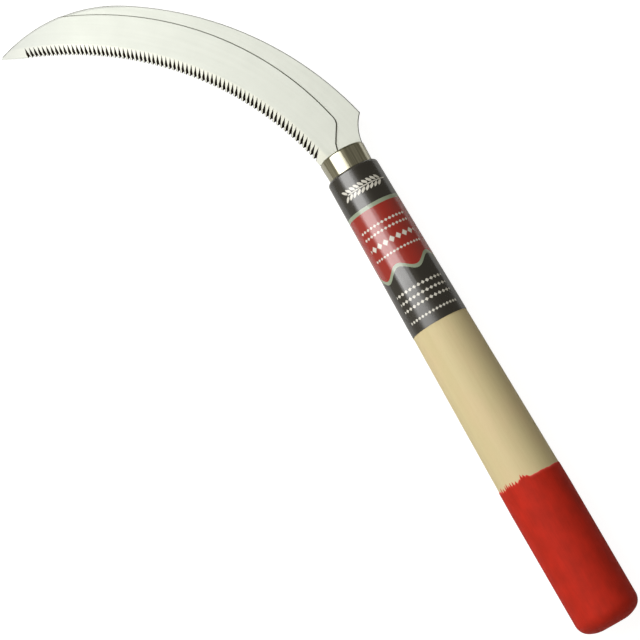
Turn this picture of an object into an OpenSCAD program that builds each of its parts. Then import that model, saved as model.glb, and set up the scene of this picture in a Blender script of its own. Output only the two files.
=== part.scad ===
// Harvest knife: a serrated sickle with a turned wooden handle.
// +X runs along the handle from the butt to the blade, +Y points to the side the tip hooks to,
// +Z points out of the grooved face. The origin is the middle of the butt's end face.

/* [Handle] */
// Distance from the butt's end face to the shoulder where the ferrule seats
grip_len = 235; // [200:1:270]
// Finished diameter of the straight butt section, over its coat
butt_d = 30.7; // [29:0.1:34]
// Length of the straight butt section, from the end face to the start of the taper
butt_len = 64; // [45:1:90]
// Diameter of the wood at the shoulder, the thin end of the taper
shoulder_d = 25; // [24:0.1:28]
// Radius of the rounded shoulder
shoulder_round = 1.5; // [0.5:0.1:1.8]
// Diameter of the flat in the middle of the butt's end
butt_flat_d = 10; // [6:1:14]
// Radius of the crown between that flat and the rounded corner
crown_r = 14; // [11:0.5:16]
// Angle through which the crown turns before the corner starts
crown_turn = 30; // [20:1:32]

/* [Ferrule] */
// Length of the ferrule, from the wood's shoulder to its mouth
ferrule_len = 10; // [8:0.5:16]
// Outer diameter of the ferrule at the wood's shoulder
ferrule_d = 21.5; // [20:0.1:22]
// Outer diameter at the mouth, which the blade's shoulders spread
mouth_d = 22.3; // [22:0.1:23.5]
// Wall of the ferrule
ferrule_wall = 0.8; // [0.6:0.1:1.2]
// Inner radius of the rim that is curled in at the mouth
rim_round = 0.4; // [0.2:0.1:0.7]
// Distance from the curled rim back to the end of the wooden spigot
spigot_recess = 0.2; // [0.1:0.1:3]
// Radial clearance between spigot and ferrule
spigot_gap = 0.05; // [0.02:0.01:0.15]

/* [Label and dip coat] */
// Distance from the butt's end face to the lower edge of the printed sleeve
label_start = 154.5; // [120:0.5:180]
// Thickness of the printed sleeve
label_film = 0.1; // [0.08:0.01:0.2]
// Radial clearance between the sleeve's drawn-in top and the ferrule
label_gap = 0.1; // [0.05:0.05:0.3]
// Length of the butt that is dipped
dip_len = 74.3; // [68:0.1:110]
// Thickness of the dipped coat
dip_film = 0.2; // [0.15:0.01:0.3]
// Clearance between the wood and the sleeve or the coat
film_gap = 0.02; // [0.01:0.01:0.05]

/* [Blade sheet] */
// Thickness of the sheet
sheet_t = 1.2; // [1:0.1:1.6]
// Height of the pressed step between the back band and the toothed web
step_rise = 0.8; // [0.5:0.1:0.9]
// Width of the step's slope in plan
step_w = 0.6; // [0.4:0.1:1]
// Width of the broken edge along the back, the same on both faces
edge_break = 0.35; // [0.15:0.05:0.4]

/* [Blade outline] */
// Distance of the heel's point ahead of the ferrule mouth
horn_ahead = 12.6; // [10:0.2:16]
// Distance of the heel's point below the handle's axis
horn_out = 16.9; // [15:0.1:19]
// Direction of the back at the heel's point, above the handle's axis
back_heading = 13.2; // [11:0.2:16]
// Radius of the back from the heel to the bend
back_r = 163; // [155:1:175]
// Length of the back from the heel to the bend
back_len = 123.6; // [110:0.5:130]
// Radius of the back from the bend to the tip
hook_r = 69.2; // [64:0.2:76]
// Direction of the toothed edge where it leaves the ferrule mouth
edge_heading = 11.2; // [9.5:0.1:12.5]
// Radius of the toothed edge
edge_r = 154.1; // [148:0.2:158]
// Length of the edge from the ferrule mouth to its straight end at the tip
edge_len = 151.6; // [140:0.2:154]
// Length of the straight, plain edge at the tip
tip_len = 12; // [8:0.2:13]
// Angle by which the plain edge turns back towards the heel side
tip_turn = 4; // [2:0.5:6]
// Angle between the plain edge and the blunt nose
nose_angle = 72; // [60:1:90]
// Radius of the hollow between the heel's point and the ferrule
heel_r = 22.2; // [20:0.2:30]
// Direction of that hollow where it leaves the ferrule mouth
heel_heading = -7.4; // [-12:0.2:-4]
// Distance by which the back shoulder of the blade stays inside the ferrule's edge
heel_inset = 0.2; // [0.1:0.1:0.6]

/* [Pressed step] */
// Distance of the step's lowest point ahead of the ferrule mouth
step_ahead = 17.3; // [15:0.1:20]
// Distance of that point below the handle's axis
step_out = 4.7; // [3.5:0.1:6]
// Direction of the long arc of the step at that point
step_heading = 12.3; // [11:0.1:13.5]
// Radius of the long arc of the step
step_r = 148.5; // [144:0.5:152]
// Radius of the step's corner at the heel
step_corner = 5; // [3:0.5:7]
// Slope of the step's short leg, from its corner up to the bend
leg_slope = 31.5; // [28:0.5:35]
// Distance of the bend in the leg ahead of the ferrule mouth
leg_bend = 5.3; // [4:0.1:7]
// Height of the bend above the handle's axis
leg_bend_up = 0.1; // [-0.6:0.1:0.8]
// Height of the step above the axis where it enters the ferrule and along the tang
leg_end_up = 1.5; // [0.9:0.1:2.5]

/* [Teeth] */
// Number of ground grooves
groove_n = 72; // [60:1:72]
// Distance of the first groove's root from the ferrule mouth, along the edge
groove_first = 2.7; // [2.5:0.1:4]
// Pitch of the grooves at the heel
pitch_heel = 2.35; // [2.1:0.01:2.4]
// Pitch of the grooves at the tip
pitch_tip = 1.93; // [1.8:0.01:1.94]
// Length of a groove's root at the heel
groove_len_heel = 6.5; // [5.5:0.1:7]
// Length of a groove's root at the tip
groove_len_tip = 5.5; // [4.5:0.1:6]
// Lean of a groove's root from square to the edge, at the heel
lean_heel = 38; // [30:1:40]
// Lean of a groove's root from square to the edge, at the tip
lean_tip = 27.5; // [20:0.5:32]
// Depth of a groove at the edge, at the heel
groove_depth_heel = 0.85; // [0.7:0.05:0.95]
// Depth of a groove at the edge, at the tip
groove_depth_tip = 0.7; // [0.6:0.05:0.9]
// Angle between a groove's upright wall, on the heel's side, and its sloping flank
flank_angle = 61; // [55:1:63]
// Width of the bevel ground on the back of the edge
bevel_w = 2.6; // [1.5:0.1:3.5]
// Thickness of the edge that the bevel leaves
bevel_land = 0.1; // [0.05:0.05:0.3]

/* [Tang] */
// Length of the tang behind the ferrule mouth
tang_len = 46; // [35:1:60]
// Width of the tang at the ferrule mouth
tang_w = 13; // [11:0.5:15]
// Width of the tang at its end
tang_end_w = 9; // [8:0.5:11]
// Clearance of the tang in the slot sawn in the wood
slot_gap = 0.1; // [0.05:0.05:0.3]
// Diameter of the pin through wood and tang
pin_d = 3; // [2.5:0.1:4]
// Distance of the pin behind the ferrule mouth
pin_back = 30; // [20:1:32]
// Radial clearance of the pin in the wood
pin_gap = 0.03; // [0.02:0.01:0.1]
// Radial clearance of the pin in the tang
tang_hole_gap = 0.1; // [0.05:0.05:0.3]
// Distance by which each end of the pin stays under the wood's surface
pin_sink = 0.3; // [0.2:0.1:1]

/* [Hidden] */
$fn = 96;
// How far a cut runs past the face that it opens
past = 1;
// A length beyond every side of the blade
far = 400;
// Steps in the turned profiles' crown, corner, shoulder and curled rim
crown_steps = 6;
corner_steps = 12;
round_steps = 6;
rim_steps = 10;
// Length of the bevelled corners at the end of the tang
tang_corner = 3;

mouth_x = grip_len + ferrule_len;
butt_r = butt_d / 2;
wood_r = butt_r - dip_film - film_gap;
shoulder_r = shoulder_d / 2;
ferrule_r = ferrule_d / 2;
mouth_r = mouth_d / 2;
spigot_r = ferrule_r - ferrule_wall - spigot_gap;
taper_end = grip_len - shoulder_round;

// Levels of the web and the back band, which lie evenly on both sides of the handle's axis
web_top = (sheet_t + step_rise) / 2;
web_bottom = web_top - sheet_t;
band_top = web_top - step_rise;
band_bottom = -web_top;

// Butt end: the corner's radius follows from the crown and the diameter
flat_r = butt_flat_d / 2;
crown_end_r = flat_r + crown_r * sin(crown_turn);
crown_end_x = crown_r * (1 - cos(crown_turn));
corner_r = (butt_r - crown_end_r) / (1 - sin(crown_turn));
corner_x = crown_end_x + corner_r * cos(crown_turn);

// Points along an arc, without its first one
function arc_points(c, r, from, to, steps) =
    [for (i = [1:steps]) let (a = from + (to - from) * i / steps) c + r * [cos(a), sin(a)]];

// The butt's end as [radius, x], from the axis to the straight section
function butt_end(inset) = concat(
    [[0, inset], [flat_r, inset]],
    arc_points([flat_r, crown_r], crown_r - inset, -90, crown_turn - 90, crown_steps),
    arc_points([butt_r - corner_r, corner_x], corner_r - inset, crown_turn - 90, 0, corner_steps));

// Radius of the bare wood at a distance from the end face, past the butt's corner
function wood_at(x) = x <= butt_len ? wood_r
    : wood_r + (shoulder_r - wood_r) * (x - butt_len) / (taper_end - butt_len);

// The wood's side as [radius, x], grown outwards, up to a given distance
function wood_side(x, grow) = concat(
    x > butt_len ? [[wood_r + grow, butt_len]] : [],
    [[wood_at(x) + grow, x]]);

// The rounded shoulder as [radius, x], grown outwards, from the taper to the seat
function shoulder(grow) = arc_points([shoulder_r - shoulder_round, taper_end], shoulder_round + grow,
    0, 90, round_steps);

function reversed(list) = [for (i = [len(list) - 1:-1:0]) list[i]];

// An arc of the blade is a point, a heading and a radius, with its centre to the left
function left_of(heading) = [-sin(heading), cos(heading)];
function along(heading) = [cos(heading), sin(heading)];
function centre(start, heading, r) = start + r * left_of(heading);
function on_arc(c, r, heading) = c - r * left_of(heading);
function turned(length, r) = length / r * 180 / PI;

// The back: a long arc from the heel, then a tighter one round to the tip
horn = [mouth_x + horn_ahead, -horn_out];
back_c = centre(horn, back_heading, back_r);
bend_heading = back_heading + turned(back_len, back_r);
bend = on_arc(back_c, back_r, bend_heading);
hook_c = centre(bend, bend_heading, hook_r);

// The toothed edge starts at the ferrule's edge and ends in the plain edge and the nose
edge_c = centre([mouth_x, mouth_r], edge_heading, edge_r);
edge_end_heading = edge_heading + turned(edge_len, edge_r);
edge_end = on_arc(edge_c, edge_r, edge_end_heading);
tip_heading = edge_end_heading - tip_turn;
nose = edge_end + tip_len * along(tip_heading);
nose_heading = tip_heading + 180 + nose_angle;

// The hollow between the heel's point and the ferrule
heel_c = centre([mouth_x, heel_inset - mouth_r], heel_heading, -heel_r);

// The pressed step: a long arc, a corner, and a bent leg that runs into the tang
step_c = centre([mouth_x + step_ahead, -step_out], step_heading, step_r);
leg_bend_at = [mouth_x + leg_bend, leg_bend_up];
leg_end_at = [mouth_x, leg_end_up];
entry_slope = atan2(leg_end_up - leg_bend_up, leg_bend);
// The corner's centre lies its own radius inside both the long arc and the leg
corner_foot = leg_bend_at + step_corner * left_of(-leg_slope);
corner_rel = corner_foot - step_c;
corner_reach = sqrt(pow(step_r - step_corner, 2) - pow(corner_rel * left_of(-leg_slope), 2));
corner_c = corner_foot + (corner_reach - corner_rel * along(-leg_slope)) * along(-leg_slope);

// The half of space ahead of a point, in the direction of the heading
module ahead(at, heading) {
    translate([at.x, at.y, 0])
        rotate(heading)
            translate([0, -far, -far])
                cube([far, 2 * far, 2 * far]);
}

// The quarter of space ahead of a point and to the left of the heading
module ahead_left(at, heading) {
    translate([at.x, at.y, -far])
        rotate(heading)
            cube([far, far, 2 * far]);
}

// A disc between two levels, with its rims broken inwards, or outwards for a cutter
module broken_disc(c, r, low, high, inward) {
    translate([c.x, c.y, 0])
        rotate_extrude($fn = 4 * $fn)
            polygon([[0, low], [r - inward, low], [r, low + edge_break], [r, high - edge_break],
                [r - inward, high], [0, high]]);
}

// The blade's outline between two levels, from the ferrule mouth to the nose
module blade_form(low, high) {
    difference() {
        union() {
            difference() {
                broken_disc(back_c, back_r, low, high, edge_break);
                ahead(bend, bend_heading);
            }
            intersection() {
                broken_disc(hook_c, hook_r, low, high, edge_break);
                ahead(bend, bend_heading);
            }
        }
        translate([edge_c.x, edge_c.y, low - past])
            cylinder(h = high - low + 2 * past, r = edge_r, $fn = 4 * $fn);
        ahead_left(edge_end, tip_heading);
        ahead(nose, nose_heading + 90);
        broken_disc(heel_c, heel_r, low, high, -edge_break);
        ahead([mouth_x, 0], 180);
    }
}

// The tang in plan, grown by a clearance, rooted a little way inside the blade
module tang_plan(grow) {
    root = tang_w / 2 + grow;
    end = tang_end_w / 2 + grow;
    end_x = mouth_x - tang_len - grow;
    polygon([[mouth_x + past, root], [mouth_x, root], [end_x + tang_corner, end],
        [end_x, end - tang_corner], [end_x, tang_corner - end], [end_x + tang_corner, -end],
        [mouth_x, -root], [mouth_x + past, -root]]);
}

// The whole sheet's outline between two levels
module sheet(low, high) {
    blade_form(low, high);
    translate([0, 0, low])
        linear_extrude(high - low)
            tang_plan(0);
}

// A cone frustum whose side follows the step's slope and reaches its radius at the top level
module step_disc(c, r, top, depth) {
    translate([c.x, c.y, top - depth])
        cylinder(h = depth, r1 = r + step_w * depth / step_rise, r2 = r, $fn = 4 * $fn);
}

// The space to the left of a line, whose side follows the step's slope
module step_side(at, heading, top, depth) {
    translate([at.x, at.y, 0])
        rotate(heading)
            rotate([90, 0, 90])
                linear_extrude(far, center = true)
                    polygon([[-step_w * depth / step_rise, top - depth], [far, top - depth],
                        [far, top], [0, top]]);
}

// The sector in which the step turns its corner
module corner_sector() {
    out = along(-90 - leg_slope);
    side = (corner_c - step_c) / norm(corner_c - step_c);
    reach = 4 * step_corner;
    translate([corner_c.x, corner_c.y, -past])
        linear_extrude(2 * (past + web_top))
            polygon([[0, 0], reach * out, reach * (out + side), reach * side]);
}

// Everything on the web's side of the pressed step, under a top level
module web_side(top, depth) {
    difference() {
        intersection() {
            step_disc(step_c, step_r, top, depth);
            union() {
                step_side(leg_bend_at, -leg_slope, top, depth);
                step_side(leg_bend_at, -entry_slope, top, depth);
                step_side(leg_end_at, 0, top, depth);
            }
        }
        translate([0, 0, top - depth])
            corner_sector();
    }
    intersection() {
        step_disc(corner_c, step_corner, top, depth);
        translate([0, 0, top - depth])
            corner_sector();
    }
}

// The pressed sheet: the back band with the web raised out of it
module pressed_sheet() {
    intersection() {
        sheet(web_bottom, web_top);
        web_side(web_top, sheet_t);
    }
    difference() {
        sheet(band_bottom, band_top);
        web_side(web_bottom, step_rise + past);
    }
}

// Section of the bevel's cut: outwards from the edge, up from the web's back face
module bevel_section() {
    k = bevel_w / (sheet_t - bevel_land);
    polygon([[-past, web_bottom - past], [bevel_w + past * k, web_bottom - past],
        [0, web_top - bevel_land], [-past, web_top - bevel_land]]);
}

// The bevel ground on the back of the toothed edge and of the plain edge at the tip
module bevel_cut() {
    translate([edge_c.x, edge_c.y, 0])
        rotate(edge_heading - 90)
            rotate_extrude(angle = edge_end_heading - edge_heading, $fn = 4 * $fn)
                translate([edge_r, 0])
                    bevel_section();
    translate([edge_end.x, edge_end.y, 0])
        rotate(tip_heading)
            translate([-past, 0, 0])
                rotate([90, 0, 90])
                    linear_extrude(tip_len + 3 * past)
                        mirror([1, 0])
                            bevel_section();
}

// What is left of a heel value on the way to the tip: it falls fast at the heel and slowly at the tip
function eased(i) = pow(1 - i / (groove_n - 1), 2);
function pitch_at(i) = pitch_tip + (pitch_heel - pitch_tip) * eased(i);

// Distance of a groove's root from the ferrule mouth, along the edge
function root_at(i) = i == 0 ? groove_first : root_at(i - 1) + pitch_at(i - 1);

// One ground groove: its root starts at the web's face and deepens to the edge, with an
// upright wall on the heel's side and a sloping flank on the tip's side
module groove_cut(s, length, depth, lean) {
    heading = edge_heading + turned(s, edge_r);
    at = on_arc(edge_c, edge_r, heading);
    rise = depth + past / 4;
    spread = rise * tan(flank_angle);
    translate([at.x, at.y, web_top])
        rotate(heading + 90 + lean)
            translate([-length, 0, 0])
                rotate([0, atan2(depth, length), 0])
                    translate([-past / 2, 0, 0])
                        rotate([90, 0, 90])
                            linear_extrude(length + 2 * past)
                                polygon([[0, 0], [0, rise], [-spread, rise]]);
}

// All the grooves, with pitch, length, depth and lean changing from heel to tip
module grooves() {
    for (i = [0:groove_n - 1]) {
        t = i / (groove_n - 1);
        groove_cut(root_at(i), groove_len_heel + (groove_len_tip - groove_len_heel) * t,
            groove_depth_heel + (groove_depth_tip - groove_depth_heel) * t,
            lean_tip + (lean_heel - lean_tip) * eased(i));
    }
}

module blade() {
    color([0.86, 0.88, 0.84])
        difference() {
            pressed_sheet();
            bevel_cut();
            grooves();
            translate([mouth_x - pin_back, 0, -web_top - past])
                cylinder(h = 2 * (web_top + past), d = pin_d + 2 * tang_hole_gap);
        }
}

// Turns a profile of [radius, x] about the handle's axis
module turned_on_axis() {
    rotate([0, 90, 0])
        rotate_extrude()
            children();
}

module ferrule() {
    curl_r = mouth_r - ferrule_wall - rim_round;
    curl_x = mouth_x - ferrule_wall - rim_round;
    color([0.75, 0.75, 0.72])
        turned_on_axis()
            polygon(concat(
                [[ferrule_r - ferrule_wall, grip_len], [ferrule_r, grip_len], [mouth_r, curl_x]],
                arc_points([curl_r, curl_x], rim_round + ferrule_wall, 0, 90, rim_steps),
                reversed(arc_points([curl_r, curl_x], rim_round, 0, 90, rim_steps)),
                [[mouth_r - ferrule_wall, curl_x]]));
}

module handle() {
    spigot_end = mouth_x - ferrule_wall - spigot_recess;
    color([0.84, 0.77, 0.6])
        difference() {
            turned_on_axis()
                polygon(concat(butt_end(dip_film + film_gap), wood_side(taper_end, 0), shoulder(0),
                    [[spigot_r, grip_len], [spigot_r, spigot_end], [0, spigot_end]]));
            translate([0, 0, -web_top - slot_gap])
                linear_extrude(2 * (web_top + slot_gap))
                    tang_plan(slot_gap);
            translate([mouth_x - pin_back, 0, -butt_r])
                cylinder(h = 2 * butt_r, d = pin_d + 2 * pin_gap);
        }
}

module label_sleeve() {
    throat = ferrule_r + label_gap;
    outside = film_gap + label_film;
    color([0.17, 0.15, 0.14])
        turned_on_axis()
            polygon(concat(
                [[wood_at(label_start) + film_gap, label_start], [wood_at(label_start) + outside, label_start],
                    [shoulder_r + outside, taper_end]],
                shoulder(outside),
                [[throat, grip_len + outside], [throat, grip_len + film_gap]],
                reversed(shoulder(film_gap)),
                [[shoulder_r + film_gap, taper_end]]));
}

module dip_coat() {
    color([0.72, 0.13, 0.1])
        turned_on_axis()
            polygon(concat(
                butt_end(0),
                wood_side(dip_len, film_gap + dip_film),
                reversed(wood_side(dip_len, film_gap)),
                reversed(butt_end(dip_film))));
}

module tang_pin() {
    pin_len = 2 * (wood_at(mouth_x - pin_back) - pin_sink);
    color([0.6, 0.6, 0.6])
        translate([mouth_x - pin_back, 0, -pin_len / 2])
            cylinder(h = pin_len, d = pin_d);
}

blade();
ferrule();
handle();
label_sleeve();
dip_coat();
tang_pin();
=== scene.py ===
"""Looks of the harvest knife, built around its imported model.

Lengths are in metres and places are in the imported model's frame: +X runs along the
handle from the butt to the blade, +Y points to the side that the tip hooks to, and +Z
points out of the grooved face. Finishes give their places and lengths in millimetres.
"""

import logging
import math
import random
from dataclasses import dataclass, field
from enum import Enum
from typing import Dict, List, Sequence, Tuple, Union

import bpy
from mathutils import Matrix, Vector


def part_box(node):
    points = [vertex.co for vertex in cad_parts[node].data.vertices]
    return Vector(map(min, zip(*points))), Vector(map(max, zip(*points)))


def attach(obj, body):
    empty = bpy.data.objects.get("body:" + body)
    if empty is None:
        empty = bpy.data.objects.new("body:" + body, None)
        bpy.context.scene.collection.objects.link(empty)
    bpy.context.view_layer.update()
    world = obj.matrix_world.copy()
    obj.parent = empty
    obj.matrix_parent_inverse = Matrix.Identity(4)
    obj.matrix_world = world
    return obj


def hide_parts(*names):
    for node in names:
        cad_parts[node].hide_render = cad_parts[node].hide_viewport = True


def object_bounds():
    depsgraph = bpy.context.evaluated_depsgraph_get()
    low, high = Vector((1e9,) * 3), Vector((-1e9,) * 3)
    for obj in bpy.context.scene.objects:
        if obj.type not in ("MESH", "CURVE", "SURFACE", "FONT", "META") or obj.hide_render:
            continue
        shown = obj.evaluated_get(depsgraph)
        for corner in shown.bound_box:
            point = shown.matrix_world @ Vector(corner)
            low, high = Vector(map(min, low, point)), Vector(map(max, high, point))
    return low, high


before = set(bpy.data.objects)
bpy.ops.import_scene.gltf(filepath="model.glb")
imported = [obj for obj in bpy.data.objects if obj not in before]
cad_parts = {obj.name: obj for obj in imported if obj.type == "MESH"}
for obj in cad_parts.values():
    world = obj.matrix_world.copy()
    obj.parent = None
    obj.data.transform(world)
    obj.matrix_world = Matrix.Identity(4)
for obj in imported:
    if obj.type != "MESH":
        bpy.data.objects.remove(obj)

MM = 0.001
BODY = "root"
CAD_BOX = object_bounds()
NOISE_MIDDLE = 0.5
LOG = logging.getLogger("harvest_knife")

Colour = Tuple[float, float, float]
Place = Tuple[float, float, float]
FlatPoint = Tuple[float, float]
Number = Union[float, "Signal"]
Socket = bpy.types.NodeSocket


class Arithmetic(Enum):
    """Steps of arithmetic, in the Math node's own words."""

    ADD = "ADD"
    SUBTRACT = "SUBTRACT"
    MULTIPLY = "MULTIPLY"
    DIVIDE = "DIVIDE"
    SIZE = "ABSOLUTE"
    LEAST = "MINIMUM"
    MOST = "MAXIMUM"
    NEAREST = "ROUND"
    FRACTION = "FRACT"
    ROOT = "SQRT"
    SINE = "SINE"
    ANGLE = "ARCTAN2"


class Signal:
    """A number that varies over a surface: one output socket of a shader graph."""

    def __init__(self, graph: "ShaderGraph", socket: Socket) -> None:
        """Keep the graph and the socket that carries the number."""
        self.graph = graph
        self.socket = socket

    def __add__(self, other: Number) -> "Signal":
        """Return the sum."""
        return self.graph.math(Arithmetic.ADD, self, other)

    def __sub__(self, other: Number) -> "Signal":
        """Return the difference."""
        return self.graph.math(Arithmetic.SUBTRACT, self, other)

    def __rsub__(self, other: Number) -> "Signal":
        """Return a plain number less this one."""
        return self.graph.math(Arithmetic.SUBTRACT, other, self)

    def __mul__(self, other: Number) -> "Signal":
        """Return the product."""
        return self.graph.math(Arithmetic.MULTIPLY, self, other)

    def __truediv__(self, other: Number) -> "Signal":
        """Return the quotient."""
        return self.graph.math(Arithmetic.DIVIDE, self, other)

    def __abs__(self) -> "Signal":
        """Return the size without its sign."""
        return self.graph.math(Arithmetic.SIZE, self)

    def least(self, other: Number) -> "Signal":
        """Return the smaller of the two."""
        return self.graph.math(Arithmetic.LEAST, self, other)

    def most(self, other: Number) -> "Signal":
        """Return the larger of the two."""
        return self.graph.math(Arithmetic.MOST, self, other)

    def rounded(self) -> "Signal":
        """Return the nearest whole number."""
        return self.graph.math(Arithmetic.NEAREST, self)

    def fraction(self) -> "Signal":
        """Return what this has above the whole number below it."""
        return self.graph.math(Arithmetic.FRACTION, self)

    def sine(self) -> "Signal":
        """Return the sine of this angle."""
        return self.graph.math(Arithmetic.SINE, self)

    def turn(self, cosine: "Signal") -> "Signal":
        """Return the angle whose sine and cosine stand to each other as this and another do."""
        return self.graph.math(Arithmetic.ANGLE, self, cosine)

    def distance(self, other: "Signal") -> "Signal":
        """Return the length of the flat vector that this and another make."""
        return self.graph.math(Arithmetic.ROOT, self * self + other * other)

    def clamped(self) -> "Signal":
        """Return this, cut off below 0 and above 1."""
        return Signal(self.graph, self.graph.add("ShaderNodeClamp", {"Value": self}).outputs[0])

    def below(self, edge: Number, blur: float) -> "Signal":
        """Return 1 where this is below an edge, 0 above it, and a ramp of a width between."""
        return (self.graph.math(Arithmetic.SUBTRACT, edge, self) / blur + 0.5).clamped()

    def above(self, edge: Number, blur: float) -> "Signal":
        """Return 1 where this is above an edge, 0 below it, and a ramp of a width between."""
        return 1.0 - self.below(edge, blur)

    def ramp(self, start: float, length: float) -> "Signal":
        """Return 0 up to a start, rising evenly to 1 over a length."""
        return ((self - start) / length).clamped()

    def swing(self, gain: float) -> "Signal":
        """Return noise about its middle as noise about 0, made stronger by a gain."""
        return (self - NOISE_MIDDLE) * gain

    def series(self, factors: Sequence[float]) -> "Signal":
        """Sum a series of this signal's powers.

        Args:
            factors: Factor of each power, from the constant up.

        Returns:
            The sum.
        """
        total = self * factors[-1] + factors[-2]
        for factor in reversed(factors[:-2]):
            total = total * self + factor
        return total

    def mix(self, low: object, high: object) -> Socket:
        """Mix two colours, with this as the second one's share.

        Args:
            low: First colour, as a tuple or a socket.
            high: Second colour, as a tuple or a socket.

        Returns:
            The socket of the mixed colour.
        """
        node = self.graph.add("ShaderNodeMix", {"Factor": self}, data_type="RGBA")
        colours = [socket for socket in node.inputs if socket.type == "RGBA"]
        self.graph.feed(colours[0], low)
        self.graph.feed(colours[1], high)
        return next(socket for socket in node.outputs if socket.type == "RGBA")


class ShaderGraph:
    """The node tree of a material or of the world, with short ways to add to it."""

    def __init__(self, owner: Union[bpy.types.Material, bpy.types.World], shader: str) -> None:
        """Keep the owner's tree and its shader.

        Args:
            owner: The material or the world.
            shader: Name of the shader node that its tree starts with.
        """
        owner.use_nodes = True
        self.owner = owner
        self.tree = owner.node_tree
        self.shader = self.tree.nodes[shader]

    def add(self, kind: str, inputs: Dict[Union[int, str], object], **settings: object) -> bpy.types.Node:
        """Add a node.

        Args:
            kind: Type of the node.
            inputs: What its sockets are fed, by their names or numbers.
            **settings: Properties to set on it first.

        Returns:
            The node.
        """
        node = self.tree.nodes.new(kind)
        for name, value in settings.items():
            setattr(node, name, value)
        for key, value in inputs.items():
            self.feed(node.inputs[key], value)
        return node

    def feed(self, socket: Socket, value: object) -> None:
        """Set a socket to a constant, or link a signal or another socket to it.

        Args:
            socket: Input socket of a node.
            value: A number, a colour, a signal or an output socket.
        """
        if isinstance(value, Signal):
            value = value.socket
        if isinstance(value, Socket):
            self.tree.links.new(value, socket)
        elif isinstance(value, tuple) and socket.type == "RGBA":
            socket.default_value = (*value, 1.0)
        else:
            socket.default_value = value

    def math(self, step: Arithmetic, *values: Number) -> Signal:
        """Return what a step of arithmetic makes of one number or two."""
        node = self.add("ShaderNodeMath", dict(enumerate(values)), operation=step.value)
        return Signal(self, node.outputs[0])

    def vector(self, *numbers: Number) -> Socket:
        """Return the socket of the vector that three numbers make."""
        return self.add("ShaderNodeCombineXYZ", dict(enumerate(numbers))).outputs[0]

    def parts(self, vector: Socket) -> Tuple[Signal, Signal, Signal]:
        """Return the x, y and z of a vector."""
        node = self.add("ShaderNodeSeparateXYZ", {0: vector})
        return tuple(Signal(self, output) for output in node.outputs)

    def coordinates(self, kind: str) -> Tuple[Signal, Signal, Signal]:
        """Return the x, y and z of a kind of the surface's coordinates."""
        return self.parts(self.add("ShaderNodeTexCoord", {}).outputs[kind])

    def place(self) -> Tuple[Signal, Signal, Signal]:
        """Return the x, y and z of a surface point, in millimetres."""
        return tuple(part * (1 / MM) for part in self.coordinates("Object"))

    def noise(self, where: Socket, detail: float) -> Signal:
        """Return smooth noise from 0 to 1 with one bump per unit, and its finer layers."""
        inputs = {"Vector": where, "Scale": 1.0, "Detail": detail}
        return Signal(self, self.add("ShaderNodeTexNoise", inputs).outputs["Fac"])

    def attribute(self, name: str) -> Signal:
        """Return a number stored on the mesh's points."""
        node = self.add("ShaderNodeAttribute", {}, attribute_name=name)
        return Signal(self, node.outputs["Fac"])

    def bump(self, height: Signal, depth: float, strength: float) -> Socket:
        """Return the surface's direction, tilted by a height whose full step has a real depth."""
        inputs = {"Height": height, "Distance": depth, "Strength": strength}
        return self.add("ShaderNodeBump", inputs).outputs[0]

    def surface(self, **values: object) -> Union[bpy.types.Material, bpy.types.World]:
        """Feed the shader.

        Args:
            **values: A value for each of its sockets, named with _ for a space.

        Returns:
            The material or the world that owns the tree.
        """
        for name, value in values.items():
            self.feed(self.shader.inputs[name.replace("_", " ")], value)
        return self.owner


def paint(name: str) -> ShaderGraph:
    """Return the graph of a new material with a single surface shader."""
    return ShaderGraph(bpy.data.materials.new(name), "Principled BSDF")


@dataclass(frozen=True)
class Grain:
    """Noise that is drawn out along one way, in bumps per millimetre."""

    along: float
    across: float
    detail: float = 2.0

    def read(self, x: Signal, y: Signal, z: Number = 0.0) -> Signal:
        """Return the noise at a point, drawn out along the first of its numbers."""
        where = x.graph.vector(x * self.along, y * self.across, z * self.across)
        return x.graph.noise(where, self.detail)


@dataclass(frozen=True)
class BladePoint:
    """A point of the blade, by its place and by the arc of the toothed edge.

    Its length runs round the arc and its radius is from the arc's centre. The length
    from the ferrule's mouth is its place along the edge, and its depth is how far it
    lies from the edge towards the back.
    """

    x: Signal
    y: Signal
    length: Signal
    radius: Signal
    along: Signal
    depth: Signal


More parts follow.
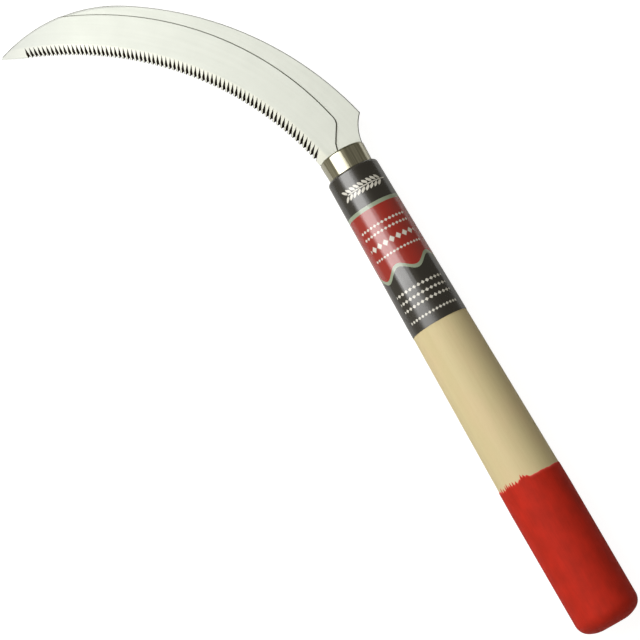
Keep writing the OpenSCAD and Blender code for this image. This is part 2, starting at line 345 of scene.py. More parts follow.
@dataclass(frozen=True)
class SatinSteel:
    """Ground stainless sheet: fine lines along the blade, with painted shade on its sloped faces, in its
    gullets, along its back and towards its tip, and a painted highlight on its lands.

    The arcs are those of the blade's outline. Other lengths run along the toothed edge
    from the ferrule's mouth, or from that edge towards the back.
    """

    edge_centre: FlatPoint = (215.07, 162.3)
    edge_radius: float = 154.1
    mouth_length: float = 30.123
    back_centre: FlatPoint = (220.38, 141.79)
    back_radius: float = 163.0
    hook_centre: FlatPoint = (298.73, 90.22)
    hook_radius: float = 69.2
    hook_start: float = 110.0
    hook_blur: float = 4.0
    teeth_end: float = 151.0
    tooth_depth: float = 7.0
    toothed_blur: float = 0.5

    tooth_count: float = 72.0
    tooth_margin: float = 0.2
    tooth_blur: float = 0.1
    lean: Tuple[float, ...] = (0.790903, -3.57777e-3, 1.18203e-5)
    index: Tuple[float, ...] = (-1.143530, 0.422181, 4.44495e-4, 3.38100e-7, -4.47355e-9)
    mark_depth: float = 5.15
    mark_slope: float = 0.21
    mark_limit: float = 0.71
    mark_least: float = 0.03
    mark_lead: float = 0.11
    mark_start: float = 0.02
    mark_side_blur: float = 0.10
    mark_end_blur: float = 0.06
    mark_up: float = 0.5
    mark_up_blur: float = 0.1
    land_blur: float = 1.0

    back_shade_width: float = 0.5
    back_shade_blur: float = 0.5
    edge_shade_share: float = 0.8
    tip_slope: float = 0.105
    tip_width: float = 0.6
    tip_blur: float = 0.4
    grey_start: float = 130.0
    grey_length: float = 30.0
    grey_share: float = 0.75
    steep: float = 0.93
    steep_blur: float = 0.04
    crease_start: float = 20.0
    crease_length: float = 110.0

    bright: Colour = (0.725, 0.75, 0.705)
    dull: Colour = (0.645, 0.67, 0.625)
    # Painted shade: grey for the band along the back, the tip's edge and the tip.
    edge_shade_grey: Colour = (0.46, 0.475, 0.46)
    # Painted highlight: lighter steel on the lands near the teeth.
    land_highlight: Colour = (0.79, 0.80, 0.73)
    # Painted shade: the near-black of the wedges painted in the gullets.
    gullet_shade_colour: Colour = (0.04, 0.032, 0.025)
    # Painted shade: grey of the step's slope and the chamfers, paler towards the tip.
    crease_shade: Colour = (0.28, 0.29, 0.26)
    tip_crease_shade: Colour = (0.52, 0.53, 0.49)
    fine: Grain = Grain(0.08, 6.0, 3.0)
    broad: Grain = Grain(0.02, 0.5)
    cloud: Grain = Grain(0.09, 0.09, 3.0)
    shade_gain: float = 0.8
    shade_middle: float = 0.6
    # Painted shade: length over which the steel darkens towards the tip.
    shade_length: float = 300.0
    roughness: float = 0.52
    relief: Tuple[float, float] = (0.02 * MM, 0.5)

    def locate(self, graph: ShaderGraph) -> BladePoint:
        """Find a point of the surface on the blade.

        Args:
            graph: Graph of the blade's material.

        Returns:
            The point.
        """
        x, y, _ = graph.place()
        dx = x - self.edge_centre[0]
        dy = y - self.edge_centre[1]
        radius = dx.distance(dy)
        length = dx.turn(0.0 - dy) * self.edge_radius
        return BladePoint(x, y, length, radius, length - self.mouth_length, radius - self.edge_radius)

    def gullet_shade(self, point: BladePoint) -> Signal:
        """Mask the painted shade in the gullets: one dark wedge in each tooth's gullet.

        Args:
            point: Point of the blade.

        Returns:
            1 in the wedges of painted shade and 0 between them.
        """
        start = point.along - point.depth * point.along.series(self.lean)
        index = start.series(self.index)
        share = (index + self.mark_lead).fraction()
        width = ((self.mark_depth - point.depth) * self.mark_slope).least(self.mark_limit)
        sides = share.below(width, self.mark_side_blur) * share.above(self.mark_start, self.mark_end_blur)
        after_first = index.above(-self.tooth_margin, self.tooth_blur)
        before_last = index.below(self.tooth_count - self.tooth_margin, self.tooth_blur)
        return sides * (after_first * before_last) * width.above(self.mark_least, self.mark_end_blur)

    def inset(self, point: BladePoint, centre: FlatPoint, radius: float) -> Signal:
        """Return how far a point lies inside an arc of a centre and a radius."""
        return radius - (point.x - centre[0]).distance(point.y - centre[1])

    def edge_and_tip_shade(self, point: BladePoint) -> Signal:
        """Mask the painted shade: a grey band along the back, a grey line on the tip's edge and greyer
        steel towards the tip.

        Args:
            point: Point of the blade.

        Returns:
            A signal from 0 to 1.
        """
        hooked = point.along.above(self.hook_start, self.hook_blur)
        from_back = self.inset(point, self.back_centre, self.back_radius)
        from_hook = self.inset(point, self.hook_centre, self.hook_radius)
        inset = from_back * (1.0 - hooked) + from_hook * hooked
        # Painted shade: a grey band along the back.
        back = inset.below(hooked * self.back_shade_width + self.back_shade_width, self.back_shade_blur)
        line = (point.along - self.teeth_end) * self.tip_slope + self.tip_width
        past_teeth = point.along.above(self.teeth_end, self.toothed_blur)
        edge = point.depth.below(line, self.tip_blur) * past_teeth
        # Painted shade: the steel greys towards the tip.
        tip = point.along.ramp(self.grey_start, self.grey_length) * self.grey_share
        return (back.most(edge) * self.edge_shade_share).most(tip)

    def ground(self, point: BladePoint) -> Socket:
        """Colour the open faces, with painted shade that darkens them towards the tip, along the back and
        at the tip's edge, and a painted highlight on the lands.

        Args:
            point: Point of the blade.

        Returns:
            The socket of the colour.
        """
        broad = self.broad.read(point.length, point.radius)
        cloud = self.cloud.read(point.x, point.y)
        clouds = broad.swing(self.shade_gain) + cloud.swing(self.shade_gain)
        # Painted shade: besides the random clouds, the steel darkens evenly towards the tip.
        shade = (clouds - point.along / self.shade_length + self.shade_middle).clamped()
        plain = shade.mix(self.dull, self.bright)
        # Painted highlight: the band near the toothed edge is painted lighter.
        land_highlighted = point.depth.below(self.mark_depth, self.land_blur).mix(plain, self.land_highlight)
        return self.edge_and_tip_shade(point).mix(land_highlighted, self.edge_shade_grey)

    def material(self) -> bpy.types.Material:
        """Make the blade's material.

        Returns:
            The material.
        """
        graph = paint("satin_steel")
        point = self.locate(graph)
        _, _, up = graph.coordinates("Normal")
        # Painted shade: dark wedges painted over each gullet on the grooved side.
        gullet_shade = self.gullet_shade(point) * up.above(self.mark_up, self.mark_up_blur)
        # Painted shade: every sloped face, such as the chamfers, the step and the groove flanks, is
        # painted dark.
        cut = abs(up).below(self.steep, self.steep_blur).most(gullet_shade)
        toothed = point.depth.below(self.tooth_depth, self.toothed_blur)
        faded = point.along.ramp(self.crease_start, self.crease_length)
        slope_shade_colour = toothed.mix(faded.mix(self.crease_shade, self.tip_crease_shade), self.gullet_shade_colour)
        return graph.surface(
            Base_Color=cut.mix(self.ground(point), slope_shade_colour),
            Metallic=1.0,
            Roughness=self.roughness,
            Normal=graph.bump(self.fine.read(point.length, point.radius), *self.relief),
        )


@dataclass(frozen=True)
class PolishedSteel:
    """Polished ring, drawn lengthwise, so that its reflections break into bands, with light and dark
    bands of reflection also painted into its colour and painted shade on its rim.
    """

    # Painted reflection: the light and dark colours of the bands painted into the steel.
    light: Colour = (0.70, 0.68, 0.56)
    dark: Colour = (0.29, 0.275, 0.20)
    # Painted shade: dark colour of the rim at the ferrule's mouth.
    rim: Colour = (0.10, 0.095, 0.045)
    rim_start: float = 244.1
    rim_blur: float = 0.5
    rim_share: float = 0.75
    radius: float = 11.0
    bands: Grain = Grain(0.02, 0.55)
    lines: Grain = Grain(0.4, 6.0)
    line_share: float = 0.02
    streaks: Grain = Grain(0.03, 0.9, 3.0)
    # Painted reflection: offset of the streaks, set so that a light band lies where the softbox's strip
    # is reflected.
    streak_start: float = 500.0
    streak_gain: float = 2.2
    roughness: float = 0.03
    line_roughness: float = 0.08
    relief: Tuple[float, float] = (0.05 * MM, 1.0)

    def material(self) -> bpy.types.Material:
        """Make the ferrule's material.

        Returns:
            The material.
        """
        graph = paint("polished_steel")
        x, y, z = graph.place()
        around = y.turn(z) * self.radius
        bands = self.bands.read(x, y, z)
        lines = self.lines.read(x, around)
        streaks = self.streaks.read(x + self.streak_start, around)
        # Painted reflection: streaks of light and dark bands painted into the colour.
        painted_reflection_bands = (streaks.swing(self.streak_gain) + NOISE_MIDDLE).clamped()
        # Painted shade: the rim at the mouth is painted dark.
        painted_rim_shade = x.above(self.rim_start, self.rim_blur) * self.rim_share
        return graph.surface(
            Base_Color=painted_rim_shade.mix(painted_reflection_bands.mix(self.dark, self.light), self.rim),
            Metallic=1.0,
            Roughness=(lines * self.line_roughness + self.roughness).clamped(),
            Normal=graph.bump(bands + lines * self.line_share, *self.relief),
        )


@dataclass(frozen=True)
class PaleWood:
    """Pale, close-grained wood, sanded and uncoated."""

    light: Colour = (0.70, 0.605, 0.355)
    dark: Colour = (0.625, 0.52, 0.285)
    warm: Colour = (0.72, 0.56, 0.34)
    fibre: Colour = (0.48, 0.36, 0.19)
    growth: Grain = Grain(0.006, 0.16, 3.0)
    growth_gain: float = 1.1
    rings: Grain = Grain(0.012, 0.9)
    ring_gain: float = 0.5
    ring_wander: float = 2.0
    tone_middle: float = 0.35
    blotches: Grain = Grain(0.045, 0.11, 3.0)
    blotch_gain: float = 4.0
    blotch_middle: float = 0.35
    blotch_share: float = 0.5
    fibres: Grain = Grain(0.12, 4.0)
    fibre_gain: float = 0.2
    fibre_share: float = 0.03
    pores: Grain = Grain(0.35, 7.0, 1.0)
    pore_level: float = 0.68
    pore_blur: float = 0.06
    pore_share: float = 0.16
    pore_depth: float = 0.5
    roughness: float = 0.55
    gloss: float = 0.3
    relief: Tuple[float, float] = (0.03 * MM, 0.5)

    def body(self, x: Signal, y: Signal, z: Signal) -> Socket:
        """Colour the wood without its fibres and pores.

        Args:
            x: Place along the handle.
            y: Place towards the hook's side.
            z: Place towards the grooved side.

        Returns:
            The socket of the colour.
        """
        growth = self.growth.read(x, y, z)
        rings = self.rings.read(x, y + growth * (self.ring_wander / self.rings.across), z)
        tone = growth.swing(self.growth_gain) + rings.swing(self.ring_gain) + self.tone_middle
        blotches = self.blotches.read(x, y, z)
        warmth = (blotches.swing(self.blotch_gain) + self.blotch_middle).clamped()
        return (warmth * self.blotch_share).mix(tone.clamped().mix(self.light, self.dark), self.warm)

    def material(self) -> bpy.types.Material:
        """Make the wood's material.

        Returns:
            The material.
        """
        graph = paint("pale_wood")
        x, y, z = graph.place()
        fibres = self.fibres.read(x, y, z)
        pores = self.pores.read(x, y, z).above(self.pore_level, self.pore_blur)
        fibrous = (fibres.swing(self.fibre_gain) + self.fibre_share).clamped()
        grained = fibrous.mix(self.body(x, y, z), self.fibre)
        return graph.surface(
            Base_Color=(pores * self.pore_share).mix(grained, self.fibre),
            Roughness=self.roughness,
            Specular_IOR_Level=self.gloss,
            Normal=graph.bump(fibres - pores * self.pore_depth, *self.relief),
        )


@dataclass(frozen=True)
class RedDip:
    """Red paint in which the butt was dipped, thin and pinkish where it was brushed out."""

    paint: Colour = (0.54, 0.024, 0.011)
    deep: Colour = (0.42, 0.021, 0.010)
    thin: Colour = (0.80, 0.12, 0.10)
    grain: Grain = Grain(0.10, 2.2)
    grain_gain: float = 0.9
    cloud: Grain = Grain(0.12, 0.2, 3.0)
    cloud_gain: float = 2.4
    roughness: float = 0.60
    grain_roughness: float = 0.10
    gloss: float = 0.12
    relief: Tuple[float, float] = (0.05 * MM, 0.6)

    def material(self, cover_name: str) -> bpy.types.Material:
        """Make the dipped coat's material.

        Args:
            cover_name: Name of the mesh's own measure of how thickly the paint covers.

        Returns:
            The material.
        """
        graph = paint("red_dip")
        x, y, z = graph.place()
        grain = self.grain.read(x, y, z)
        cloud = self.cloud.read(x, y, z)
        clouds = cloud.swing(self.cloud_gain) + grain.swing(self.grain_gain)
        full = (clouds + NOISE_MIDDLE).clamped().mix(self.paint, self.deep)
        return graph.surface(
            Base_Color=graph.attribute(cover_name).mix(self.thin, full),
            Roughness=(grain * self.grain_roughness + self.roughness).clamped(),
            Specular_IOR_Level=self.gloss,
            Normal=graph.bump(grain, *self.relief),
        )


@dataclass(frozen=True)
class PrintedEar:
    """An ear of grain, printed across the handle."""

    place: float = 224.5
    pitch: float = 2.3
    pairs: float = 4.0
    offset: float = 1.55
    lean: float = math.radians(38)
    grain_reach: float = 1.75
    grain_width: float = 0.62
    grain_blur: float = 0.16
    stalk_middle: float = -3.0
    stalk_reach: float = 11.0
    stalk_width: float = 0.22
    stalk_blur: float = 0.12

    def mask(self, around: Signal, along: Signal) -> Signal:
        """Mask the ear.

        Args:
            around: Distance round the handle, from the middle of the grooved side.
            along: Distance from the butt's end.

        Returns:
            1 on the ear and 0 beside it.
        """
        from_stalk = abs(along - self.place)
        index = (around / self.pitch).rounded().least(self.pairs).most(-self.pairs)
        a = around - index * self.pitch
        b = from_stalk - self.offset
        u = (a * math.cos(self.lean) + b * math.sin(self.lean)) / self.grain_reach
        v = (b * math.cos(self.lean) - a * math.sin(self.lean)) / self.grain_width
        grains = u.distance(v).below(1.0, self.grain_blur)
        ends = abs(around - self.stalk_middle) - self.stalk_reach
        stalk = (from_stalk - self.stalk_width).most(ends)
        return grains.most(stalk.below(0.0, self.stalk_blur))


@dataclass(frozen=True)
class LozengeRow:
    """A row of small lozenges, printed across the handle."""

    place: float
    pitch: float
    height: float
    width_share: float = 0.42
    blur: float = 0.24

    def mask(self, around: Signal, along: Signal) -> Signal:
        """Mask the row.

        Args:
            around: Distance round the handle, from the middle of the grooved side.
            along: Distance from the butt's end.

        Returns:
            1 on the lozenges and 0 between them.
        """
        a = abs(around - (around / self.pitch).rounded() * self.pitch)
        b = abs(along - self.place)
        lozenge = a / (self.pitch * self.width_share) + b / (self.height / 2)
        return lozenge.below(1.0, self.blur)


@dataclass(frozen=True)
class PrintedFilm:
    """Glossy film printed with zones, an ear of grain and rows of lozenges."""

    black: Colour = (0.016, 0.013, 0.010)
    red: Colour = (0.335, 0.011, 0.004)
    border: Colour = (0.30, 0.36, 0.26)
    white: Colour = (0.72, 0.70, 0.64)
    radius: float = 13.3
    zone_top: float = 214.0
    zone_bottom: float = 184.0
    zone_blur: float = 0.12
    border_width: float = 1.8
    wave_height: float = 2.2
    wave_count: float = 5.0
    ear: PrintedEar = PrintedEar()
    ear_limit: float = 24.0
    ear_limit_blur: float = 0.5
    rows: Tuple[LozengeRow, ...] = (
        LozengeRow(206.0, 2.0, 1.5),
        LozengeRow(202.6, 2.0, 1.5),
        LozengeRow(197.0, 3.4, 3.2),
        LozengeRow(191.6, 1.8, 1.4),
        LozengeRow(173.0, 2.2, 1.7),
        LozengeRow(169.2, 2.2, 1.7),
        LozengeRow(165.4, 2.2, 1.7),
        LozengeRow(159.6, 1.8, 1.5),
    )
    row_limit: float = 13.0
    row_limit_blur: float = 0.3
    scuff: Grain = Grain(0.05, 0.5, 3.0)
    scuff_roughness: float = 0.08
    top_start: float = 165.0
    top_length: float = 60.0
    top_roughness: float = 0.11
    foot_start: float = 162.0
    foot_length: float = 16.0
    foot_roughness: float = 0.16
    roughness: float = 0.08
    refraction: float = 1.88
    relief: Tuple[float, float] = (0.02 * MM, 0.3)

    def zones(self, angle: Signal, along: Signal) -> Socket:
        """Colour the print without its motifs.

        Args:
            angle: Angle round the handle, from the middle of the grooved side.
            along: Distance from the butt's end.

        Returns:
            The socket of the colour.
        """
        wave = (angle * self.wave_count).sine() * self.wave_height
        inside = (self.zone_top - along).least(along - (wave + self.zone_bottom))
        edge = inside.above(-self.border_width, self.zone_blur)
        return inside.above(0.0, self.zone_blur).mix(edge.mix(self.black, self.border), self.red)

    def motifs(self, around: Signal, along: Signal) -> Signal:
        """Mask all that is printed in white.

        Args:
            around: Distance round the handle, from the middle of the grooved side.
            along: Distance from the butt's end.

        Returns:
            1 on the motifs and 0 between them.
        """
        white = self.ear.mask(around, along)
        limit = abs(around).below(self.row_limit, self.row_limit_blur)
        for row in self.rows:
            white = white.most(row.mask(around, along) * limit)
        return white * abs(around).below(self.ear_limit, self.ear_limit_blur)

    def material(self) -> bpy.types.Material:
        """Make the printed sleeve's material.

        Returns:
            The material.
        """
        graph = paint("printed_film")
        x, y, z = graph.place()
        angle = y.turn(z)
        white = self.motifs(angle * self.radius, x)
        scuff = self.scuff.read(x, y, z)
        top = x.ramp(self.top_start, self.top_length) * self.top_roughness
        foot = (1.0 - x.ramp(self.foot_start, self.foot_length)) * self.foot_roughness
        return graph.surface(
            Base_Color=white.mix(self.zones(angle, x), self.white),
            Roughness=(scuff * self.scuff_roughness + top + foot + self.roughness).clamped(),
            IOR=self.refraction,
            Normal=graph.bump(scuff, *self.relief),
        )


@dataclass(frozen=True)
class DrawnSteel:
    """Plain drawn wire of the hidden pin, which stands along Z."""

    tint: Colour = (0.55, 0.55, 0.54)
    lines_across: float = 8.0
    lines_along: float = 0.3
    detail: float = 2.0
    roughness: float = 0.3
    line_roughness: float = 0.2
    relief: Tuple[float, float] = (0.01 * MM, 0.5)

    def material(self) -> bpy.types.Material:
        """Make the pin's material.

        Returns:
            The material.
        """
        graph = paint("drawn_steel")
        x, y, z = graph.place()
        where = graph.vector(x * self.lines_across, y * self.lines_across, z * self.lines_along)
        lines = graph.noise(where, self.detail)
        return graph.surface(
            Base_Color=self.tint,
            Metallic=1.0,
            Roughness=(lines * self.line_roughness + self.roughness).clamped(),
            Normal=graph.bump(lines, *self.relief),
        )


def placed(name: str, data: bpy.types.ID) -> bpy.types.Object:
    """Make an object of a mesh, a lamp or a camera.

    Args:
        name: Name of the object.
        data: What it shows.

    Returns:
        The object, linked to the scene.
    """
    piece = bpy.data.objects.new(name, data)
    bpy.context.scene.collection.objects.link(piece)
    return piece


def dress(node: str, material: bpy.types.Material) -> bpy.types.Object:
    """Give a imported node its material.

    Args:
        node: Name of the node.
        material: Finish for all of its faces.

    Returns:
        The node's object.
    """
    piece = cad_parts[node]
    for slot in piece.material_slots:
        slot.material = material
    return piece


def solid(name: str, vertices: Sequence[Sequence[float]], faces: Sequence[Sequence[int]],
          sharp: float = math.radians(40.0)) -> bpy.types.Object:
    """Make a smooth-shaded object from points and faces.

    Args:
        name: Name of the object and of its mesh.
        vertices: Places of the points.
        faces: Indices of each face's points.
        sharp: Angle between faces above which their shared edge stays sharp.

    Returns:
        The object, linked to the scene.
    """
    mesh = bpy.data.meshes.new(name)
    mesh.from_pydata(vertices, [], faces)
    mesh.validate()
    mesh.shade_smooth()
    mesh.set_sharp_from_angle(angle=sharp)
    mesh.update()
    return placed(name, mesh)


def turned(x: float, radius: float, angle: float) -> Place:
    """Return the place of a point of a turned section, at an angle round the handle's axis."""
    return x, radius * math.sin(angle), radius * math.cos(angle)


def round_angles(count: int) -> List[float]:
    """Return evenly spaced angles, once round."""
    return [2 * math.pi * step / count for step in range(count)]


@dataclass
class Blade:
    """The pressed and ground sheet with its teeth."""

    finish: SatinSteel = field(default_factory=SatinSteel)

    def dress(self) -> bpy.types.Object:
        """Give the blade its satin finish and return it."""
        return dress("blade", self.finish.material())


@dataclass(frozen=True)
class PaintHair:
    """A brushed-out hair of paint: a thin triangle on the paint's edge.

    Its angle round the handle and its half width are in degrees, and its length is in
    millimetres.
    """

    angle: float
    half: float
    length: float

    def reach(self, angle: float) -> float:
        """Measure the hair at an angle.

        Args:
            angle: Angle round the handle, in radians.

        Returns:
            How far the hair stands out there, 0 beside it.
        """
        off = abs((angle - math.radians(self.angle) + math.pi) % (2 * math.pi) - math.pi)
        return max(0.0, self.length * MM * (1 - off / math.radians(self.half)))


@dataclass(frozen=True)
class EdgeWave:
    """A wave of the paint's edge: its height in millimetres, its count and its start's angle."""

    height: float
    count: int
    start: float = 0.0

    def reach(self, angle: float) -> float:
        """Return the wave's height at an angle round the handle."""
        return self.height * MM * math.sin(self.count * angle + self.start)


@dataclass
class DipCoat:
    """The paint on the butt: a thin shell whose upper edge ends in brush strokes.

    The tuft's hairs are listed one by one. The others are drawn by chance between two angles,
    with half widths, lengths and steps in PaintHair's units.
    """

    COVER = "cover"

    film: float = 0.2 * MM
    thin_film: float = 0.05 * MM
    flat_radius: float = 5.0 * MM
    flat_shares: Tuple[float, ...] = (0.35, 0.7, 1.0)
    crown_radius: float = 14.0 * MM
    crown_turn: float = math.radians(30.0)
    crown_steps: int = 8
    corner_steps: int = 14
    straight: float = 64.0 * MM
    taper: float = 0.0155
    side_shares: Tuple[float, ...] = (0.0, 0.4, 0.7, 0.86, 0.94, 0.98, 1.0)
    columns: int = 720
    fade: float = 0.7 * MM
    waves: Tuple[EdgeWave, ...] = (EdgeWave(0.16, 3, 0.4), EdgeWave(0.10, 11), EdgeWave(0.05, 29))
    tuft: Tuple[PaintHair, ...] = (
        PaintHair(14.5, 3.2, 2.6),
        PaintHair(10.0, 4.2, 2.0),
        PaintHair(5.0, 5.0, 1.1),
        PaintHair(19.0, 5.0, 1.0),
    )
    seed: int = 7
    hair_angles: Tuple[float, float] = (27.0, 215.0)
    hair_halves: Tuple[float, float] = (1.8, 3.2)
    hair_lengths: Tuple[float, float] = (1.0, 2.8)
    hair_steps: Tuple[float, float] = (4.2, 7.4)
    finish: RedDip = field(default_factory=RedDip)
    reach: float = field(init=False)
    radius: float = field(init=False)

    def __post_init__(self) -> None:
        """Take the coat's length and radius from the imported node."""
        low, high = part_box("dip_coat")
        self.reach = high.x
        self.radius = (high.z - low.z) / 2

    def end_profile(self, inset: float) -> List[FlatPoint]:
        """Return the butt's end as (radius, x), from the middle to its straight side.

        Args:
            inset: Distance of the profile inside the coat's outer face.

        Returns:
            Points on the flat, the crown and the rounded corner.
        """
        crown_end = self.flat_radius + self.crown_radius * math.sin(self.crown_turn)
        crown_end_x = self.crown_radius * (1 - math.cos(self.crown_turn))
        corner = (self.radius - crown_end) / (1 - math.sin(self.crown_turn))
        corner_x = crown_end_x + corner * math.cos(self.crown_turn)
        points = [(self.flat_radius * share, inset) for share in self.flat_shares]
        size = self.crown_radius - inset
        for step in range(1, self.crown_steps + 1):
            angle = self.crown_turn * step / self.crown_steps
            points.append((self.flat_radius + size * math.sin(angle),
                           self.crown_radius - size * math.cos(angle)))
        size = corner - inset
        for step in range(1, self.corner_steps + 1):
            angle = self.crown_turn + (math.pi / 2 - self.crown_turn) * step / self.corner_steps
            points.append((self.radius - corner + size * math.sin(angle),
                           corner_x - size * math.cos(angle)))
        return points

    def hairs(self) -> List[PaintHair]:
        """List the brushed-out hairs of paint.

        Returns:
            The tuft's hairs, then the ones drawn by chance.
        """
        draw = random.Random(self.seed)
        hairs = list(self.tuft)
        angle, last = self.hair_angles
        while angle < last:
            half = draw.uniform(*self.hair_halves)
            hairs.append(PaintHair(angle, half, draw.uniform(*self.hair_lengths)))
            angle += draw.uniform(*self.hair_steps)
        return hairs

    def edge_at(self, angle: float, hairs: Sequence[PaintHair]) -> float:
        """Return how far the paint reaches up the handle at an angle.

        Args:
            angle: Angle round the handle, from 0 to a full turn.
            hairs: The hairs of paint.

        Returns:
            Distance from the butt's end.
        """
        wave = sum(wave.reach(angle) for wave in self.waves)
        return self.reach + wave + max(hair.reach(angle) for hair in hairs)

    def cover_at(self, x: float, end: float) -> float:
        """Return how fully the paint covers, from 0 at its end to 1 in the full film."""
        return min(1.0, max(0.0, (end - x) / self.fade))

    def side_points(self, end: float) -> Tuple[List[FlatPoint], List[FlatPoint]]:
        """Return the side of the coat, from the straight part to the paint's end.

        Args:
            end: Distance of the paint's end from the butt's end.

        Returns:
            The outer and the inner points, as (radius, x).
        """
        outer = []
        inner = []
        for share in self.side_shares:
            x = self.straight + (end - self.straight) * share
            film = self.thin_film + (self.film - self.thin_film) * self.cover_at(x, end)
            base = self.radius - (x - self.straight) * self.taper - self.film
            outer.append((base + film, x))
            inner.append((base, x))
        return outer, inner

    def faces(self, rings: int) -> List[Tuple[int, ...]]:
        """Return the faces that join the columns of the shell.

        Args:
            rings: Points in each of a column's two chains.

        Returns:
            The faces, all turned outwards.
        """
        faces: List[Tuple[int, ...]] = []
        for column in range(self.columns):
            a = 2 + column * 2 * rings
            b = 2 + (column + 1) % self.columns * 2 * rings
            faces.append((0, b, a))
            faces.append((1, a + rings, b + rings))
            for ring in range(rings - 1):
                faces.append((a + ring, b + ring, b + ring + 1, a + ring + 1))
                c, d = a + rings + ring, b + rings + ring
                faces.append((d, c, c + 1, d + 1))
            faces.append((a + rings - 1, b + rings - 1, b + 2 * rings - 1, a + 2 * rings - 1))
        return faces

    def build(self) -> bpy.types.Object:
        """Build the shell as one closed mesh.

        Returns:
            The shell, with its measure of cover on each point.
        """
        hairs = self.hairs()
        outer_end = self.end_profile(0.0)
        inner_end = self.end_profile(self.film)
        vertices: List[Place] = [(0.0, 0.0, 0.0), (self.film, 0.0, 0.0)]
        cover = [1.0, 1.0]
        for angle in round_angles(self.columns):
            end = self.edge_at(angle, hairs)
            outer_side, inner_side = self.side_points(end)
            for radius, x in outer_end + outer_side + inner_end + inner_side:
                vertices.append(turned(x, radius, angle))
                cover.append(self.cover_at(x, end))
        piece = solid("dipped_paint", vertices, self.faces(len(outer_end) + len(self.side_shares)))
        layer = piece.data.attributes.new(self.COVER, "FLOAT", "POINT")
        layer.data.foreach_set("value", cover)
        return piece

    def dress(self) -> bpy.types.Object:
        """Build the coat, give it its paint and put it in the node's place.

        Returns:
            The coat.
        """
        piece = self.build()
        piece.data.materials.append(self.finish.material(self.COVER))
        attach(piece, BODY)
        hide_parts("dip_coat")
        return piece


@dataclass
class Ferrule:
    """The ring at the blade: a tube that widens to a rim curled in at its mouth."""

    wall: float = 0.8 * MM
    curl: float = 0.4 * MM
    outer_spread: float = 0.3 * MM
    bore_spread: float = 0.4 * MM
    columns: int = 256
    curl_steps: int = 12
    side_steps: int = 10
    finish: PolishedSteel = field(default_factory=PolishedSteel)

    def profile(self) -> List[FlatPoint]:
        """Draw the ring's section.

        Returns:
            Its points as (radius, x), once round.
        """
        low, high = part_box("ferrule")
        mouth = high.z
        outer = self.curl + self.wall
        curl_x = high.x - outer
        curl_radius = mouth - outer
        shares = [step / self.side_steps for step in range(self.side_steps)]
        turns = [math.pi / 2 * step / self.curl_steps for step in range(self.curl_steps + 1)]
        places = [low.x + (curl_x - low.x) * share for share in shares]
        side = [(mouth - self.outer_spread * (1 - share), x) for share, x in zip(shares, places)]
        bore = [(mouth - self.wall - self.bore_spread * (1 - share), x)
                for share, x in zip(shares, places)]
        rim = [(curl_radius + outer * math.cos(turn), curl_x + outer * math.sin(turn)) for turn in turns]
        back = [(curl_radius + self.curl * math.cos(turn), curl_x + self.curl * math.sin(turn))
                for turn in reversed(turns)]
        return side + rim + back + bore[::-1]

    def build(self) -> bpy.types.Object:
        """Turn the section about the handle's axis.

        Returns:
            The ring.
        """
        section = self.profile()
        rings = len(section)
        vertices = [turned(x, radius, angle)
                    for angle in round_angles(self.columns) for radius, x in section]
        faces = []
        for column in range(self.columns):
            a = column * rings
            b = (column + 1) % self.columns * rings
            for ring in range(rings):
                after = (ring + 1) % rings
                faces.append((a + ring, b + ring, b + after, a + after))
        return solid("turned_ferrule", vertices, faces)

    def dress(self) -> bpy.types.Object:
        """Build the ring, polish it and put it in the node's place.

        Returns:
            The ring.
        """
        piece = self.build()
        piece.data.materials.append(self.finish.material())
        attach(piece, BODY)
        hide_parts("ferrule")
        return piece


@dataclass
class Handle:
    """The turned wood with its printed sleeve and its hidden pin."""

    wood: PaleWood = field(default_factory=PaleWood)
    sleeve: PrintedFilm = field(default_factory=PrintedFilm)
    pin: DrawnSteel = field(default_factory=DrawnSteel)

    def dress(self) -> List[bpy.types.Object]:
        """Give each of the handle's pieces its finish.

        Returns:
            The wood, the sleeve and the pin.
        """
        return [
            dress("handle", self.wood.material()),
            dress("label_sleeve", self.sleeve.material()),
            dress("tang_pin", self.pin.material()),
        ]


@dataclass(frozen=True)
class PhotoCamera:
    """The camera that took the photograph, as found from the knife's own sizes."""

    eye: Place = (0.011327, 0.046039, 1.1)
    aim: Place = (0.183183, 0.046039, 0.0)
    roll: float = math.radians(-29.7557)
    focal_pixels: float = 2460.72
    frame_pixels: float = 640.0
    sensor: float = 36.0
    clip_start: float = 0.01

    def build(self) -> bpy.types.Object:
        """Create the camera and make it the scene's.

        Returns:
            The camera.
        """
        data = bpy.data.cameras.new("photo_camera")
        data.sensor_width = self.sensor
        data.sensor_fit = "HORIZONTAL"
        data.lens = self.focal_pixels * self.sensor / self.frame_pixels
        data.clip_start = self.clip_start
        camera = placed("photo_camera", data)
        look = (Vector(self.aim) - Vector(self.eye)).to_track_quat("-Z", "Y").to_matrix().to_4x4()
        camera.matrix_world = Matrix.Translation(self.eye) @ look @ Matrix.Rotation(self.roll, 4, "Z")
        bpy.context.scene.camera = camera
        return camera


@dataclass(frozen=True)
class SoftboxPart:
    """A rectangle of even light in the softbox.

    Its tilt is measured from straight above, and it hangs ahead of the stage's middle,
    towards the blade.
    """

    name: str
    tilt: float
    width: float
    depth: float
    radiance: float
    ahead: float


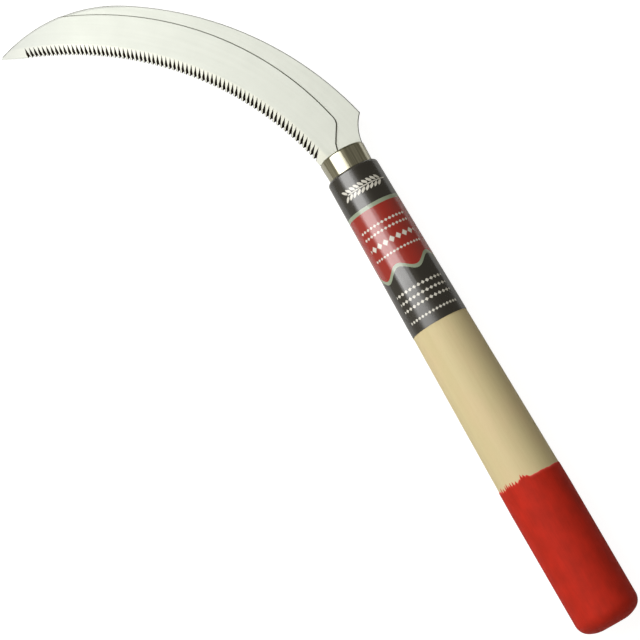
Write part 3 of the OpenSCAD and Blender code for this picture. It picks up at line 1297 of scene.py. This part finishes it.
@dataclass
class Studio:
    """A seamless pale floor, one large softbox on the hook's side and a dim room.

    The camera sees a floor that glows evenly and lights nothing. A small unseen table
    under the knife throws the light back that a real floor would.
    """

    middle: Place = (0.22, 0.0, 0.0)
    floor_size: float = 16.0
    floor_gap: float = 0.1 * MM
    floor_glow: float = 0.93
    floor_paint: float = 0.25
    table_gap: float = 0.2 * MM
    table_length: float = 0.8
    table_width: float = 0.13
    table_paint: float = 0.75
    matt: float = 0.9
    softbox_distance: float = 1.8
    softbox_turn: float = math.radians(4.0)
    softbox: Tuple[SoftboxPart, ...] = (
        SoftboxPart("softbox_rim", math.radians(33.5), 2.30, 2.28, 1.70, 1.34),
        SoftboxPart("softbox_core", math.radians(36.5), 1.90, 1.44, 2.95, 1.19),
    )
    room_floor: float = 0.20
    room_rise: float = 2.0
    room_reach: float = 0.5
    room_limit: float = 0.3
    room_tint: Colour = (1.0, 0.95, 0.78)
    backdrop: Colour = (0.93, 0.93, 0.93)

    def plane(self, name: str, gap: float, length: float, width: float) -> bpy.types.Object:
        """Lay a plane a little way under the knife.

        Args:
            name: Name of the plane.
            gap: Distance of the plane below the knife.
            length: Size of the plane along the handle.
            width: Size of the plane across the handle.

        Returns:
            The plane.
        """
        low = CAD_BOX[0][2] - gap
        corners = [(self.middle[0] + i * length / 2, j * width / 2, low)
                   for i, j in ((-1, -1), (1, -1), (1, 1), (-1, 1))]
        mesh = bpy.data.meshes.new(name)
        mesh.from_pydata(corners, [], [(0, 1, 2, 3)])
        plane = placed(name, mesh)
        return plane

    def build_floor(self) -> bpy.types.Object:
        """Lay the pale floor that only the camera sees.

        Returns:
            The floor.
        """
        floor = self.plane("floor", self.floor_gap, self.floor_size, self.floor_size)
        floor.data.materials.append(paint("pale_floor").surface(
            Base_Color=(self.floor_paint,) * 3,
            Roughness=self.matt,
            Specular_IOR_Level=0.0,
            Emission_Color=(1.0, 1.0, 1.0),
            Emission_Strength=self.floor_glow,
        ))
        floor.visible_diffuse = False
        floor.visible_glossy = False
        floor.visible_transmission = False
        floor.visible_shadow = False
        return floor

    def build_table(self) -> bpy.types.Object:
        """Lay the plain board that throws light back on the knife from below.

        Returns:
            The board.
        """
        table = self.plane("table", self.table_gap, self.table_length, self.table_width)
        table.data.materials.append(paint("plain_table").surface(
            Base_Color=(self.table_paint,) * 3,
            Roughness=self.matt,
            Specular_IOR_Level=0.0,
        ))
        table.visible_camera = False
        return table

    def build_softbox(self, part: SoftboxPart) -> bpy.types.Object:
        """Hang one part of the softbox on the side that the tip hooks to.

        Args:
            part: Size, place and brightness of the part.

        Returns:
            The lamp.
        """
        data = bpy.data.lights.new(part.name, "AREA")
        data.shape = "RECTANGLE"
        data.size = part.width
        data.size_y = part.depth
        data.energy = part.radiance * math.pi * part.width * part.depth
        box = placed(part.name, data)
        away = Vector((0.0, math.sin(part.tilt), math.cos(part.tilt)))
        box.location = Vector(self.middle) + away * self.softbox_distance
        box.location.x += part.ahead
        box.rotation_euler = (-part.tilt, 0.0, 0.0)
        box.rotation_euler.rotate_axis("Z", self.softbox_turn)
        box.visible_camera = False
        return box

    def build_room(self) -> None:
        """Set the dim room, lighter on the softbox's side, which the camera sees as a backdrop."""
        world = bpy.data.worlds.new("room")
        bpy.context.scene.world = world
        graph = ShaderGraph(world, "Background")
        _, side, _ = graph.coordinates("Generated")
        near = (side + self.room_reach).most(0.0).least(self.room_limit)
        light = near * near * self.room_rise + self.room_floor
        room = graph.vector(*(light * share for share in self.room_tint))
        seen = Signal(graph, graph.add("ShaderNodeLightPath", {}).outputs["Is Camera Ray"])
        graph.surface(Color=seen.mix(room, self.backdrop))

    def build(self) -> None:
        """Set up the floor, the table, the softbox, the room and plain colours."""
        self.build_floor()
        self.build_table()
        for part in self.softbox:
            self.build_softbox(part)
        self.build_room()
        bpy.context.scene.view_settings.view_transform = "Standard"


def main() -> None:
    """Dress the knife, set up the studio and report each piece."""
    logging.basicConfig(level=logging.INFO, format="%(message)s")
    pieces = [Blade().dress(), Ferrule().dress(), *Handle().dress(), DipCoat().dress()]
    for piece in pieces:
        LOG.info("dressed %s: %d faces", piece.name, len(piece.data.polygons))
    Studio().build()
    PhotoCamera().build()


if __name__ == "__main__":
    main()
